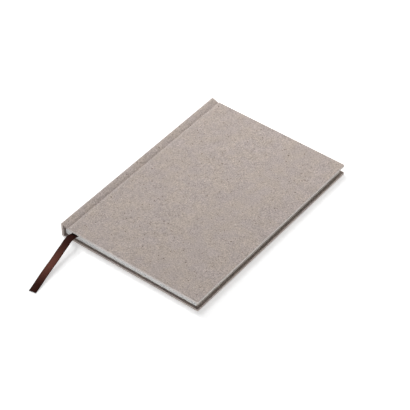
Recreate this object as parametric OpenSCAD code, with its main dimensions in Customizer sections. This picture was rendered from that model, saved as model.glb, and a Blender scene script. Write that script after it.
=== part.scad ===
// Casebound notebook with a sewn page block, a square spine and a ribbon marker.
// The spine stands along -X, the fore edge is +X, the head is +Y and the back cover lies on z = 0.

/* [Cover] */
// Width of the closed notebook, from the spine to the fore edge
cover_w = 148; // [100:1:220]
// Height of the closed notebook, from the tail to the head
cover_h = 210; // [140:1:300]
// Thickness of each cover board
board_t = 2; // [1.2:0.1:3]
// Thickness of the covering paper
paper_t = 0.25; // [0.15:0.05:0.4]
// Radius of the outer corners of each cover
corner_r = 1; // [0.5:0.5:6]
// Width of the covering paper that is folded in over a board's edge
turn_in = 15; // [8:1:20]

/* [Spine] */
// Thickness of the spine board
spine_board_t = 1.5; // [1:0.1:3]
// Width of the hinge between the spine panel and a cover board
joint_w = 6.2; // [3:0.2:9]
// Width of the flat floor of the pressed groove
groove_w = 0.9; // [0.4:0.1:1.5]
// Height of the groove's underside above the inner face of the board
groove_lift = 0.1; // [0:0.05:0.6]
// Height of the spine's edge above the face of the front cover
spine_rise = 1.3; // [0.4:0.1:3]
// Gap between the spine panel and the lined back of the page block
hollow = 0.6; // [0.4:0.1:3]

/* [Page block] */
// Number of folded signatures
signature_count = 8; // [4:1:16]
// Number of signatures in front of the ribbon marker
front_signatures = 2; // [1:1:3]
// Thickness of one signature at the fore edge
signature_t = 0.66; // [0.3:0.02:1.2]
// Extra thickness of one signature at its sewn fold
signature_swell = 0.18; // [0.02:0.02:0.4]
// Overhang of the cover past the pages at the head and the tail
square = 2.5; // [1:0.5:5]
// Overhang of the cover past the pages at the fore edge
fore_square = 4; // [1:0.5:6]

/* [Endpapers and sewing] */
// Thickness of an endpaper leaf
endpaper_t = 0.15; // [0.1:0.05:0.3]
// Distance from a pastedown's edge to the edge of the cover
pastedown_inset = 3; // [2:0.5:8]
// Thickness of the gauze on the folds
mull_t = 0.2; // [0.1:0.05:0.4]
// Distance from the gauze to the ends of the page block
mull_inset = 12; // [5:1:30]
// Thickness of the paper lining on the gauze
lining_t = 0.15; // [0.1:0.05:0.4]
// Distance from the lining to the ends of the page block
lining_inset = 3; // [1:1:10]
// Diameter of the sewing thread
thread_d = 0.3; // [0.2:0.05:0.5]
// Length of one stitch on the back of a fold
stitch_l = 28; // [15:1:35]
// Number of stitches on the back of each fold
stitch_count = 3; // [2:1:4]
// Distance from the sewing to the ends of the page block
sewing_inset = 14; // [8:1:30]

/* [Ribbon marker] */
// Width of the ribbon
ribbon_w = 7; // [3:0.2:10]
// Thickness of the ribbon
ribbon_t = 0.25; // [0.15:0.05:0.5]
// Distance from the fold to the middle of the ribbon at the head
ribbon_head_x = 12.5; // [5:0.5:30]
// Distance from the fold to the middle of the ribbon at the tail
ribbon_tail_x = 11.5; // [6:0.5:40]
// Length of the ribbon's glued end on the spine lining
anchor_l = 35; // [15:1:80]

/* [Hidden] */
$fn = 48;

// Room between pieces that move apart
leaf_gap = 0.1;
// Room round the two folds of the covering paper beside the spine panel
fold_gap = 0.1;
// Overlap that keeps a cut clear of a face
cut_over = 1;

// The case, from the back face up and from the spine's outer face inwards
cover_t = board_t + paper_t;
case_t = cover_t + endpaper_t;
panel_t = spine_board_t + 2 * paper_t;
spine_x = -cover_w / 2;
board_x = spine_x + panel_t + joint_w;
fore_x = cover_w / 2;

// The back of the page block and what is glued to it, from the spine panel inwards
lining_x = spine_x + panel_t + hollow;
mull_x = lining_x + lining_t;
thread_x = mull_x + mull_t + thread_d / 2;
fold_x = thread_x + thread_d / 2 + leaf_gap / 2;

// The page block
block_h = cover_h - 2 * square;
block_x = fore_x - fore_square;
block_w = block_x - fold_x;
block_z = case_t + endpaper_t;
rear_signatures = signature_count - front_signatures;
marker_gap = ribbon_t + leaf_gap;
wedge = signature_count * signature_swell / block_w;
slope = atan(wedge);

// Height of the paper under a number of signatures, at a place between fold and fore edge
function pile_z(n, x) = block_z + n * (signature_t + signature_swell * (block_x - x) / block_w);
function page_z(n, x) = pile_z(n, x) + (n > rear_signatures ? marker_gap : 0);
function top_z(x) = page_z(signature_count, x) + leaf_gap;

// The front cover leans on the block, and the spine rises over it
front_z = top_z(board_x) + endpaper_t + leaf_gap + case_t;
board_w = (fore_x - board_x) / cos(slope);
spine_h = front_z + spine_rise;
panel_low = paper_t + fold_gap;
panel_high = spine_h - paper_t - fold_gap;
block_high = page_z(signature_count, fold_x);

// Sewing along the folds
sewing_l = block_h - 2 * sewing_inset;
stitch_pitch = (sewing_l - stitch_l) / (stitch_count - 1);

// Place where the middle of the ribbon leaves the pages
exit_x = fold_x + ribbon_tail_x;
exit_z = pile_z(rear_signatures, exit_x) + ribbon_t / 2;

// Middle line of the ribbon's free tail, down to the table: across and out from that place, and up
ribbon_route = [
  [0, 0, 7.6],
  [0, -2.5, 8.5],
  [0.1, -5.5, 9.4],
  [0.25, -8.5, 9.7],
  [0.6, -11.5, 9.4],
  [1.05, -14.5, 8.8],
  [1.8, -18.5, 8.1],
  [2.6, -23.5, 7.3],
  [3.6, -28.5, 6.5],
  [4.7, -34.5, 5.6],
  [5.6, -40.5, 4.6],
  [6.6, -46.5, 3.7],
  [7.7, -52.5, 2.7],
  [8.95, -58.5, 1.75],
  [9.9, -63.5, 0.95],
  [10.7, -68, 0.35],
];
ribbon_points = [
  for (p = ribbon_route) [exit_x + p.x, p.y - block_h / 2, p.z * exit_z / ribbon_route[0].z]
];
ribbon_edge = 0.06;

cover_colour = [0.69, 0.65, 0.61];
board_colour = [0.55, 0.52, 0.48];
page_colour = [0.94, 0.93, 0.9];
endpaper_colour = [0.9, 0.88, 0.84];
gauze_colour = [0.86, 0.84, 0.78];
kraft_colour = [0.66, 0.53, 0.38];
thread_colour = [0.95, 0.94, 0.9];
ribbon_colour = [0.24, 0.12, 0.1];

function unit(v) = v / norm(v);
function turned(v) = [-v.y, v.x];

// Outline of a thin band of one thickness along a line of points
function band_normal(p, i) =
  let (last = len(p) - 1)
  let (before = turned(unit(p[max(i, 1)] - p[max(i, 1) - 1])))
  let (after = turned(unit(p[min(i + 1, last)] - p[min(i + 1, last) - 1])))
  let (middle = unit(before + after))
  middle / (middle * before);
function band(p, t) = concat(
  [for (i = [0:len(p) - 1]) p[i] + band_normal(p, i) * t / 2],
  [for (i = [len(p) - 1:-1:0]) p[i] - band_normal(p, i) * t / 2]
);

// Middle line of the covering paper from the spine's edge through the groove to the board's edge
function groove_line(edge_z, floor_z, face_z) = [
  [spine_x, edge_z],
  [spine_x + panel_t, edge_z],
  [board_x - 1.5 * paper_t - groove_w, floor_z],
  [board_x - 1.5 * paper_t, floor_z],
  [board_x - 0.55 * paper_t, face_z],
];

// Thin solid of an XZ outline, from the tail to the head
module along_y(length) {
  translate([0, length / 2, 0]) rotate([90, 0, 0]) linear_extrude(length) children();
}

// Plan of a cover from its spine side at x = 0, with round corners at the fore edge
module cover_plan(w, h, r) {
  translate([0, -h / 2]) square([w - r, h]);
  translate([0, r - h / 2]) square([w, h - 2 * r]);
  for (side = [-1, 1]) {
    translate([w - r, side * (h / 2 - r)]) circle(r);
  }
}

// Cover board with its outer face up, thinner by the turned-in paper along three edges
module cover_board(w, over = 0) {
  translate([-over, 0, -board_t]) linear_extrude(board_t - paper_t)
    cover_plan(w - paper_t + over, cover_h - 2 * paper_t, corner_r - paper_t);
  translate([-over, turn_in - cover_h / 2, -cover_t - over])
    cube([w - turn_in + over, cover_h - 2 * turn_in, paper_t + over]);
}

// Covering paper on a cover board: the face, the three edges and the turned-in margins
module cover_wrap(w) {
  difference() {
    translate([0, 0, -cover_t]) linear_extrude(cover_t) cover_plan(w, cover_h, corner_r);
    cover_board(w, cut_over);
  }
  translate([-1.05 * paper_t, -cover_h / 2, -paper_t]) cube([cut_over, cover_h, paper_t]);
}

// Endpaper half that is pasted to the inside of a cover
module pastedown(w) {
  translate([0, pastedown_inset - cover_h / 2, -case_t])
    cube([w - pastedown_inset, cover_h - 2 * pastedown_inset, endpaper_t]);
}

// Place of the front cover, leaning on the page block
module on_front() {
  translate([board_x, 0, front_z]) rotate([0, slope, 0]) children();
}

// Place of the back cover, outer face down on the table
module on_back() {
  translate([board_x, 0, 0]) mirror([0, 0, 1]) children();
}

module front_board() {
  color(board_colour) on_front() cover_board(board_w);
}

module front_cover_paper() {
  floor_z = front_z - cover_t + groove_lift + paper_t / 2;
  line = groove_line(spine_h - paper_t / 2, floor_z, front_z - paper_t / 2);
  color(cover_colour) {
    on_front() cover_wrap(board_w);
    along_y(cover_h) polygon(band(line, paper_t));
  }
}

module front_pastedown() {
  color(endpaper_colour) on_front() pastedown(board_w);
}

module front_flyleaf() {
  low = [[fold_x, top_z(fold_x)], [block_x, top_z(block_x)]];
  high = [for (p = low) p + [0, endpaper_t]];
  color(endpaper_colour) along_y(block_h) polygon([low[0], low[1], high[1], high[0]]);
}

module back_board() {
  color(board_colour) on_back() cover_board(fore_x - board_x);
}

module back_cover_paper() {
  floor_z = cover_t - groove_lift - paper_t / 2;
  line = groove_line(paper_t / 2, floor_z, paper_t / 2);
  color(cover_colour) {
    on_back() cover_wrap(fore_x - board_x);
    along_y(cover_h) polygon(band(line, paper_t));
  }
}

module back_pastedown() {
  color(endpaper_colour) on_back() pastedown(fore_x - board_x);
}

module back_flyleaf() {
  color(endpaper_colour)
    translate([fold_x, -block_h / 2, case_t]) cube([block_w, block_h, endpaper_t]);
}

module spine_board() {
  color(board_colour) translate([spine_x + paper_t, paper_t - cover_h / 2, panel_low])
    cube([spine_board_t, cover_h - 2 * paper_t, panel_high - panel_low]);
}

// Covering paper round the spine board, turned in at the head and the tail
module spine_paper() {
  tall = panel_high - panel_low;
  color(cover_colour) translate([spine_x, 0, panel_low]) difference() {
    translate([0, -cover_h / 2, 0]) cube([panel_t, cover_h, tall]);
    translate([paper_t, paper_t - cover_h / 2, -cut_over])
      cube([spine_board_t, cover_h - 2 * paper_t, tall + 2 * cut_over]);
    translate([panel_t - paper_t - cut_over, turn_in - cover_h / 2, -cut_over])
      cube([paper_t + 2 * cut_over, cover_h - 2 * turn_in, tall + 2 * cut_over]);
  }
}

// Strip glued along the back of the page block
module back_strip(x, t, inset) {
  translate([x, inset - block_h / 2, block_z]) cube([t, block_h - 2 * inset, block_high - block_z]);
}

module spine_lining() {
  color(kraft_colour) back_strip(lining_x, lining_t, lining_inset);
}

module mull() {
  color(gauze_colour) back_strip(mull_x, mull_t, mull_inset);
}

// Lift of a signature over the ribbon marker, counted from the front
function marker_lift(i) = i <= front_signatures ? marker_gap : 0;
function leaf_z(i, part, x) = pile_z(signature_count - i + part, x) + marker_lift(i);

// Folded sheets of one signature, thicker at the sewn fold
module signature(i) {
  round_x = fold_x + (signature_t + signature_swell) / 2;
  round_r = (leaf_z(i, 1, round_x) - leaf_z(i, 0, round_x)) / 2;
  low = [for (x = [round_x, block_x]) [x, leaf_z(i, 0, x)]];
  high = [for (x = [block_x, round_x]) [x, leaf_z(i, 1, x)]];
  color(page_colour) along_y(block_h) {
    polygon(concat(low, high));
    translate([round_x, leaf_z(i, 0.5, round_x)]) circle(round_r);
  }
}

// Stitches on the back of each fold, and the links from fold to fold at both ends
module sewing_thread() {
  color(thread_colour) {
    for (i = [1:signature_count]) {
      for (j = [0:stitch_count - 1]) {
        translate([thread_x, j * stitch_pitch - sewing_l / 2, leaf_z(i, 0.5, fold_x)])
          rotate([-90, 0, 0]) cylinder(d = thread_d, h = stitch_l);
      }
    }
    for (i = [2:signature_count]) {
      for (side = [-1, 1]) {
        low = leaf_z(i, 0.5, fold_x);
        high = leaf_z(i - 1, 0.5, fold_x) - leaf_gap;
        translate([thread_x, side * (sewing_l / 2 + thread_d), low])
          cylinder(d = thread_d, h = high - low);
      }
    }
  }
}

// Glued end of the ribbon on the lined back of the block
module ribbon_anchor() {
  middle_z = (block_z + block_high) / 2;
  color(ribbon_colour)
    translate([lining_x - ribbon_t, block_h / 2 - lining_inset - anchor_l, middle_z - ribbon_w / 2])
      cube([ribbon_t, anchor_l, ribbon_w]);
}

// Run of the ribbon on the marked page, from the head to the tail
module ribbon_inner() {
  head = [ribbon_head_x, block_h / 2];
  tail = [ribbon_tail_x, -block_h / 2];
  half = [ribbon_w / 2, 0];
  color(ribbon_colour)
    translate([fold_x, 0, pile_z(rear_signatures, fold_x)])
      rotate([0, atan(rear_signatures * signature_swell / block_w), 0])
        linear_extrude(ribbon_t) polygon([tail - half, tail + half, head + half, head - half]);
}

// Flat section of the ribbon with its edges taken off
function ribbon_section(w, t, e) = [
  [-w, e - t], [e - w, -t], [w - e, -t], [w, e - t],
  [w, t - e], [w - e, t], [e - w, t], [-w, t - e],
];
function route_way(p, i) =
  i == 0 ? [0, -1, 0] : unit(p[min(i + 1, len(p) - 1)] - p[i - 1]);
function route_ring(p, i, section) =
  let (way = route_way(p, i))
  let (across = unit(cross([0, 0, 1], way)))
  let (over = cross(way, across))
  [for (s = section) p[i] + s.x * across + s.y * over];

// Free tail of the ribbon, swept along its middle line
module ribbon_tail() {
  section = ribbon_section(ribbon_w / 2, ribbon_t / 2, ribbon_edge);
  sides = len(section);
  last = len(ribbon_points) - 1;
  points = [for (i = [0:last]) each route_ring(ribbon_points, i, section)];
  walls = [
    for (i = [0:last - 1])
      for (j = [0:sides - 1])
        let (a = i * sides + j)
        let (b = i * sides + (j + 1) % sides)
        each [[a, a + sides, b + sides], [a, b + sides, b]]
  ];
  start_face = [for (j = [0:sides - 1]) j];
  end_face = [for (j = [sides - 1:-1:0]) last * sides + j];
  color(ribbon_colour) polyhedron(points, concat(walls, [start_face, end_face]));
}

front_board();
front_cover_paper();
front_pastedown();
front_flyleaf();
spine_board();
spine_paper();
spine_lining();
mull();
sewing_thread();
back_board();
back_cover_paper();
back_pastedown();
back_flyleaf();
ribbon_anchor();
ribbon_inner();
ribbon_tail();
for (i = [1:signature_count]) {
  signature(i);
}
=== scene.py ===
# %% [markdown]
# A casebound grid notebook: two boards and a flat spine covered in speckled recycled paper, eight
# sewn sections of squared paper, plain endpapers and a dark ribbon marker.
# The imported CAD model is the frame of this lesson. Every mesh goes where that frame says, so the
# first cell loads it, and the boxes of its parts give the measures.

# %% Frame
import math
import random

import bmesh
import bpy
from mathutils import Matrix, Vector


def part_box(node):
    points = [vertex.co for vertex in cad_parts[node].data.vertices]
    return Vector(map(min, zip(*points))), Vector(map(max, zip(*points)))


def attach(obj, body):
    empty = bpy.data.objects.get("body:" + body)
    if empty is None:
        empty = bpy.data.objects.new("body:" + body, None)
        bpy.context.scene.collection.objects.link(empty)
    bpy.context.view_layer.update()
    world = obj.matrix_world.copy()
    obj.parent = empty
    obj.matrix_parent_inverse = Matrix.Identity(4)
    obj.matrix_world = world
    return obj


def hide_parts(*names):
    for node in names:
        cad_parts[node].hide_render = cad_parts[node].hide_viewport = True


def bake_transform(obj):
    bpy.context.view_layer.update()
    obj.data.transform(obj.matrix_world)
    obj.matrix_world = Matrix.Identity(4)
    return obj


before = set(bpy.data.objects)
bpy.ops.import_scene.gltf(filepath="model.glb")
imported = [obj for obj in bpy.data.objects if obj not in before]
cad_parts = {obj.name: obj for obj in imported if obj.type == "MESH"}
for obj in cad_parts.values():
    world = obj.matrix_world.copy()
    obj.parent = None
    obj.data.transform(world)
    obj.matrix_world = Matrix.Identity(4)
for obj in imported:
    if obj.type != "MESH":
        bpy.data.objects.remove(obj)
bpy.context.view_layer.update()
MM = 0.001

# %% [markdown]
# A notebook is a pile of thin layers, so its measures are read from the frame where a box gives
# them, and the few thicknesses that a box hides are repeated here in millimetres.
# x runs from the spine to the fore edge, y from the tail to the head, and z up from the table.

# %% Measures of the case and the pages
PAPER_T = 0.25 * MM
ENDPAPER_T = 0.15 * MM
TURN_IN = 15 * MM
CORNER_R = 1 * MM
SPINE_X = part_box("spine_paper")[0].x
SPINE_INNER_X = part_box("spine_paper")[1].x
FORE_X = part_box("back_cover_paper")[1].x
HALF_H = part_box("back_cover_paper")[1].y
COVER_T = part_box("back_cover_paper")[1].z
BOARD_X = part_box("back_board")[0].x
SPINE_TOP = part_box("front_cover_paper")[1].z
FRONT_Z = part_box("front_board")[1].z + PAPER_T
FOLD_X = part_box("signature_8")[0].x
LEAF_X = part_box("signature_8")[1].x
HALF_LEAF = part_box("signature_8")[1].y
PAGES_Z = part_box("signature_8")[0].z
LEAF_W = LEAF_X - FOLD_X
flyleaf_low, flyleaf_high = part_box("front_flyleaf")
SLOPE = math.atan2(flyleaf_high.z - flyleaf_low.z - ENDPAPER_T, LEAF_W)
print("front cover leans", round(math.degrees(SLOPE), 3), "degrees")
print("front face at", round(FRONT_Z / MM, 3), "mm")

# %% [markdown]
# The photograph was taken from above the tail corner of the fore edge with a long lens. A camera is
# placed by three directions: right, up and back, which are the columns of its matrix. They come from
# two turns, round the notebook and above the table, and a small roll of the picture.

# %% Camera
PHOTO_PIXELS = 410
FOCAL_PIXELS = 1668.454
SENSOR_MM = 36.0
VIEW_AZIMUTH = math.radians(38.647)
VIEW_ELEVATION = math.radians(43.313)
VIEW_ROLL = math.radians(-0.946)
VIEW_TARGET = Vector((-2.0, 0.0, 5.0)) * MM
VIEW_RIGHT = 1.118 * MM
VIEW_UP = -5.406 * MM
VIEW_DISTANCE = 1450.555 * MM

level = math.cos(VIEW_ELEVATION)
back = Vector((math.sin(VIEW_AZIMUTH) * level, -math.cos(VIEW_AZIMUTH) * level, math.sin(VIEW_ELEVATION)))
flat_right = Vector((math.cos(VIEW_AZIMUTH), math.sin(VIEW_AZIMUTH), 0.0))
flat_up = back.cross(flat_right)
right = flat_right * math.cos(VIEW_ROLL) + flat_up * math.sin(VIEW_ROLL)
up = flat_up * math.cos(VIEW_ROLL) - flat_right * math.sin(VIEW_ROLL)
camera_data = bpy.data.cameras.new("photo_camera")
camera_data.sensor_width = SENSOR_MM
camera_data.lens = FOCAL_PIXELS * SENSOR_MM / PHOTO_PIXELS
camera = bpy.data.objects.new("photo_camera", camera_data)
bpy.context.scene.collection.objects.link(camera)
place = VIEW_TARGET + right * VIEW_RIGHT + up * VIEW_UP + back * VIEW_DISTANCE
turn = Matrix((right, up, back)).transposed().to_4x4()
camera.matrix_world = Matrix.Translation(place) @ turn
bpy.context.scene.camera = camera
print("camera", [round(part, 4) for part in place], "lens", round(camera_data.lens, 2))

# %% [markdown]
# Materials are trees of nodes. A few small helpers keep the trees readable: one adds a node and fills
# its sockets with numbers or links, and the others wrap the nodes that every paper needs.
# Colours are written as the 0 to 255 values that a screen shows and turned into linear light.

# %% Node helpers
def screen_colour(red, green, blue):
    """Linear RGBA for a colour as a screen shows it."""
    linear = []
    for part in (red, green, blue):
        share = part / 255
        linear.append(share / 12.92 if share <= 0.04045 else ((share + 0.055) / 1.055) ** 2.4)
    return (linear[0], linear[1], linear[2], 1.0)


def add_node(tree, kind, inputs=None, **settings):
    """A node with its settings, and its sockets filled from numbers or other nodes' sockets."""
    node = tree.nodes.new(kind)
    for setting, value in settings.items():
        setattr(node, setting, value)
    for socket, value in (inputs or {}).items():
        if isinstance(value, bpy.types.NodeSocket):
            tree.links.new(value, node.inputs[socket])
        else:
            node.inputs[socket].default_value = value
    return node


def calc(tree, operation, first, second=0.0):
    """One step of arithmetic on two values."""
    return add_node(tree, "ShaderNodeMath", {0: first, 1: second}, operation=operation).outputs[0]


def fade(tree, value, start, end, low=0.0, high=1.0):
    """A soft step: low where value is at start, high where it is at end."""
    sockets = {"Value": value, "From Min": start, "From Max": end, "To Min": low, "To Max": high}
    node = add_node(tree, "ShaderNodeMapRange", sockets, interpolation_type="SMOOTHSTEP")
    return node.outputs["Result"]


def noise(tree, place, scale, detail=2.0):
    node = add_node(tree, "ShaderNodeTexNoise", {"Vector": place, "Scale": scale, "Detail": detail})
    return node.outputs["Fac"]


def tint(tree, factor, first, second, way="MIX"):
    sockets = {0: factor, 6: first, 7: second}
    node = add_node(tree, "ShaderNodeMix", sockets, data_type="RGBA", blend_type=way)
    return node.outputs[2]


def new_group(name, inputs, outputs):
    """An empty node group with named sockets, and its two end nodes."""
    tree = bpy.data.node_groups.new(name, "ShaderNodeTree")
    for title, kind in inputs:
        tree.interface.new_socket(name=title, in_out="INPUT", socket_type="NodeSocket" + kind)
    for title, kind in outputs:
        tree.interface.new_socket(name=title, in_out="OUTPUT", socket_type="NodeSocket" + kind)
    return tree, tree.nodes.new("NodeGroupInput").outputs, tree.nodes.new("NodeGroupOutput").inputs


def new_material(name, rough=0.8, shine=0.3):
    """A material with its Principled shader, at a plain roughness and specular level."""
    material = bpy.data.materials.new(name)
    material.use_nodes = True
    shader = material.node_tree.nodes["Principled BSDF"]
    shader.inputs["Roughness"].default_value = rough
    shader.inputs["Specular IOR Level"].default_value = shine
    return material, material.node_tree, shader


def bump(tree, shader, height, distance, strength=1.0):
    """A bump of that height in metres on a shader's normal."""
    sockets = {"Height": height, "Distance": distance, "Strength": strength}
    tree.links.new(add_node(tree, "ShaderNodeBump", sockets).outputs["Normal"], shader.inputs["Normal"])


print("middle grey in linear light", [round(part, 3) for part in screen_colour(128, 128, 128)])

# %% [markdown]
# The covering paper is made of unsorted recycled pulp: soft warm and cool patches a few millimetres
# wide, brown specks of about a millimetre, pale crumbs, and short loose fibres.
# An image would fix it to one size, so it is a node group of layers, each at its own scale in metres:
# noise for the patches, Voronoi cells for the specks, and thin contour lines of noise for the fibres.

# %% Recycled pulp group
SPECK_SMALLEST = 0.35
SPECK_CORE = 0.7
FIBRE_BREAKS = 1.7
FIBRE_KEPT = 0.62
FIBRE_END = 0.04
RAGGED_SCALE = 1500.0
RAGGED_REACH = 0.9 * MM
GRAIN_SCALE = 1500.0
HAIR_SHARE = 0.35
PALE_HAIR_SHARE = 0.4
HAIR_HEIGHT = 0.5
SPECK_LAYERS = (
    (520.0, 0.34, 0.36, 0.45, "Speck"),
    (480.0, 0.13, 0.36, 0.5, "Crumb"),
    (400.0, 0.15, 0.26, 0.95, "Speck"),
    (370.0, 0.018, 0.24, 1.0, "Crumb"),
)


def speck_mask(tree, place, scale, share, size):
    """Round specks in some of the Voronoi cells: scale is cells in a metre, share how many cells."""
    cells = add_node(tree, "ShaderNodeTexVoronoi", {"Vector": place, "Scale": scale})
    pick = add_node(tree, "ShaderNodeSeparateColor", {"Color": cells.outputs["Color"]})
    reach = calc(tree, "MULTIPLY", fade(tree, pick.outputs["Green"], 0.0, 1.0, SPECK_SMALLEST, 1.0), size)
    inner = calc(tree, "MULTIPLY", reach, SPECK_CORE)
    spot = fade(tree, cells.outputs["Distance"], reach, inner)
    chosen = calc(tree, "LESS_THAN", pick.outputs["Red"], share)
    return calc(tree, "MULTIPLY", spot, chosen)


def fibre_mask(tree, place, scale, width, share):
    """Short thin curved lines: where a noise crosses its middle value, kept in places only."""
    wave = noise(tree, place, scale, 1.0)
    off = calc(tree, "ABSOLUTE", calc(tree, "SUBTRACT", wave, 0.5))
    line = fade(tree, off, width, 0.0)
    broken = noise(tree, place, scale * FIBRE_BREAKS, 1.0)
    kept = fade(tree, broken, FIBRE_KEPT - share, FIBRE_KEPT + FIBRE_END - share)
    return calc(tree, "MULTIPLY", line, kept)


pulp, given, made = new_group(
    "recycled_pulp",
    [("Place", "Vector"), ("Warm", "Color"), ("Cool", "Color"), ("Speck", "Color"), ("Crumb", "Color")],
    [("Color", "Color"), ("Roughness", "Float"), ("Height", "Float")],
)
drift = add_node(
    pulp, "ShaderNodeTexNoise", {"Vector": given["Place"], "Scale": RAGGED_SCALE, "Detail": 1.0}
)
shift = add_node(
    pulp, "ShaderNodeVectorMath", {0: drift.outputs["Color"], 1: (0.5, 0.5, 0.5)}, operation="SUBTRACT"
)
ragged = add_node(
    pulp, "ShaderNodeVectorMath", {0: shift.outputs[0], 1: (RAGGED_REACH,) * 3, 2: given["Place"]},
    operation="MULTIPLY_ADD",
).outputs[0]
patches = fade(pulp, noise(pulp, given["Place"], 75.0, 4.0), 0.34, 0.66)
colour = tint(pulp, patches, given["Cool"], given["Warm"])
clouds = fade(pulp, noise(pulp, given["Place"], 90.0, 3.0), 0.3, 0.7, 0.96, 1.04)
colour = tint(pulp, 1.0, colour, clouds, "MULTIPLY")
lumps = fade(pulp, noise(pulp, ragged, 800.0, 2.0), 0.28, 0.72, 0.83, 1.15)
colour = tint(pulp, 1.0, colour, lumps, "MULTIPLY")
grain = noise(pulp, given["Place"], GRAIN_SCALE, 2.0)
colour = tint(pulp, 1.0, colour, fade(pulp, grain, 0.28, 0.72, 0.75, 1.25), "MULTIPLY")
hairs = fibre_mask(pulp, given["Place"], 300.0, 0.022, 0.06)
colour = tint(pulp, calc(pulp, "MULTIPLY", hairs, HAIR_SHARE), colour, given["Speck"])
pale_hairs = fibre_mask(pulp, ragged, 420.0, 0.02, 0.06)
colour = tint(pulp, calc(pulp, "MULTIPLY", pale_hairs, PALE_HAIR_SHARE), colour, given["Crumb"])
for scale, share, size, strength, paint in SPECK_LAYERS:
    specks = speck_mask(pulp, ragged, scale, share, size)
    colour = tint(pulp, calc(pulp, "MULTIPLY", specks, strength), colour, given[paint])
pulp.links.new(colour, made["Color"])
pulp.links.new(fade(pulp, grain, 0.2, 0.8, 0.72, 0.9), made["Roughness"])
all_hairs = calc(pulp, "ADD", hairs, pale_hairs)
raised = calc(pulp, "ADD", grain, calc(pulp, "MULTIPLY", all_hairs, HAIR_HEIGHT))
pulp.links.new(raised, made["Height"])
print("recycled_pulp has", len(pulp.nodes), "nodes")

# %% [markdown]
# Paper over a board rubs pale where it is bent round an edge, and the front cover's edges are painted
# paler than the back's, as painted light for the light that they catch. Inside the covers the turned-in
# margin lies in shade and gets painted shade. The meshes store a number for rub and painted light on
# their points: 1 on a bent edge, 0 on a flat face and -1 on a turned-in margin with painted shade. This
# group breaks the pale rub up with noise, so that it looks handled and not drawn with a ruler. A faint
# pale line marks the board's edge at the groove.

# %% Edge rub group and the covering paper
rub_and_painted_light, given, made = new_group(
    "edge_rub_and_light", [("Place", "Vector"), ("Edge", "Float")], [("Mask", "Float"), ("PaintedShade", "Float")]
)
torn = fade(rub_and_painted_light, noise(rub_and_painted_light, given["Place"], 900.0, 4.0), 0.1, 0.6)
rub_and_painted_light.links.new(calc(rub_and_painted_light, "MULTIPLY", torn, given["Edge"]), made["Mask"])
rub_and_painted_light.links.new(fade(rub_and_painted_light, given["Edge"], 0.0, -1.0), made["PaintedShade"])

COVER_WARM = screen_colour(184, 171, 162)
COVER_COOL = screen_colour(181, 169, 164)
COVER_SPECK = screen_colour(90, 73, 63)
COVER_CRUMB = screen_colour(218, 211, 204)
# Pale colour of rubbed edges; on the front cover's edges it is also painted light.
COVER_RUB_AND_LIGHT = screen_colour(218, 212, 208)
# Painted shade, multiplied into the turned-in margins, which lie in shade inside the case.
PAINTED_TURN_IN_SHADE = screen_colour(224, 221, 218)
BOARD_LINE = 1.1 * MM
BOARD_LINE_SHARE = 0.15
PULP_RELIEF = 0.06 * MM


def group_node(tree, group, inputs):
    """A node that uses a group, with its sockets filled, and its outputs."""
    return add_node(tree, "ShaderNodeGroup", inputs, node_tree=group).outputs


cover_paper, tree, shader = new_material("recycled_cover_paper", 0.82, 0.25)
where = add_node(tree, "ShaderNodeTexCoord").outputs["Object"]
edge = add_node(tree, "ShaderNodeAttribute", attribute_name="rub_and_painted_light").outputs["Fac"]
pulp_colours = {"Warm": COVER_WARM, "Cool": COVER_COOL, "Speck": COVER_SPECK, "Crumb": COVER_CRUMB}
sheet_look = group_node(tree, pulp, {"Place": where, **pulp_colours})
rub_and_shade = group_node(tree, rub_and_painted_light, {"Place": where, "Edge": edge})
# Painted shade on the turned-in margins; after it, the pale rub with painted light on the edges.
turn_in_shaded = tint(tree, rub_and_shade["PaintedShade"], sheet_look["Color"], PAINTED_TURN_IN_SHADE, "MULTIPLY")
side_way = add_node(tree, "ShaderNodeSeparateXYZ", {"Vector": where}).outputs["X"]
off_line = calc(tree, "ABSOLUTE", calc(tree, "SUBTRACT", side_way, BOARD_X + BOARD_LINE))
pale_line = fade(tree, off_line, BOARD_LINE, 0.0, 0.0, BOARD_LINE_SHARE)
paled = calc(tree, "MAXIMUM", rub_and_shade["Mask"], pale_line)
tree.links.new(tint(tree, paled, turn_in_shaded, COVER_RUB_AND_LIGHT), shader.inputs["Base Color"])
tree.links.new(sheet_look["Roughness"], shader.inputs["Roughness"])
bump(tree, shader, sheet_look["Height"], PULP_RELIEF, 0.5)
print("covering paper ready")

# %% [markdown]
# Pages, endpapers, boards and the kraft strip are plainer papers. They share one group that gives a
# faint cloudiness, a fine tooth and a few fibres, and each material places it with its own colours.

# %% Plain paper group
tooth, given, made = new_group(
    "paper_tooth",
    [("Place", "Vector"), ("Paper", "Color"), ("Shade", "Color"), ("Fibre", "Color")],
    [("Color", "Color"), ("Roughness", "Float"), ("Height", "Float")],
)
cloud = fade(tooth, noise(tooth, given["Place"], 240.0, 4.0), 0.3, 0.7)
colour = tint(tooth, cloud, given["Shade"], given["Paper"])
threads = fibre_mask(tooth, given["Place"], 520.0, 0.02, 0.05)
colour = tint(tooth, calc(tooth, "MULTIPLY", threads, 0.35), colour, given["Fibre"])
fine = noise(tooth, given["Place"], 3800.0, 3.0)
tooth.links.new(colour, made["Color"])
tooth.links.new(fade(tooth, fine, 0.2, 0.8, 0.74, 0.92), made["Roughness"])
tooth.links.new(fine, made["Height"])


def plain_paper(name, paper, shade, fibre, by_map=False, relief=0.00003):
    """A paper or board material on the tooth group; by_map follows a piece's own map, for bent leaves."""
    material, tree, shader = new_material(name)
    source = add_node(tree, "ShaderNodeTexCoord").outputs["UV" if by_map else "Object"]
    colours = {"Paper": screen_colour(*paper), "Shade": screen_colour(*shade), "Fibre": screen_colour(*fibre)}
    look = group_node(tree, tooth, {"Place": source, **colours})
    tree.links.new(look["Color"], shader.inputs["Base Color"])
    tree.links.new(look["Roughness"], shader.inputs["Roughness"])
    bump(tree, shader, look["Height"], relief, 0.4)
    return material, tree, shader, look, source


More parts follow.
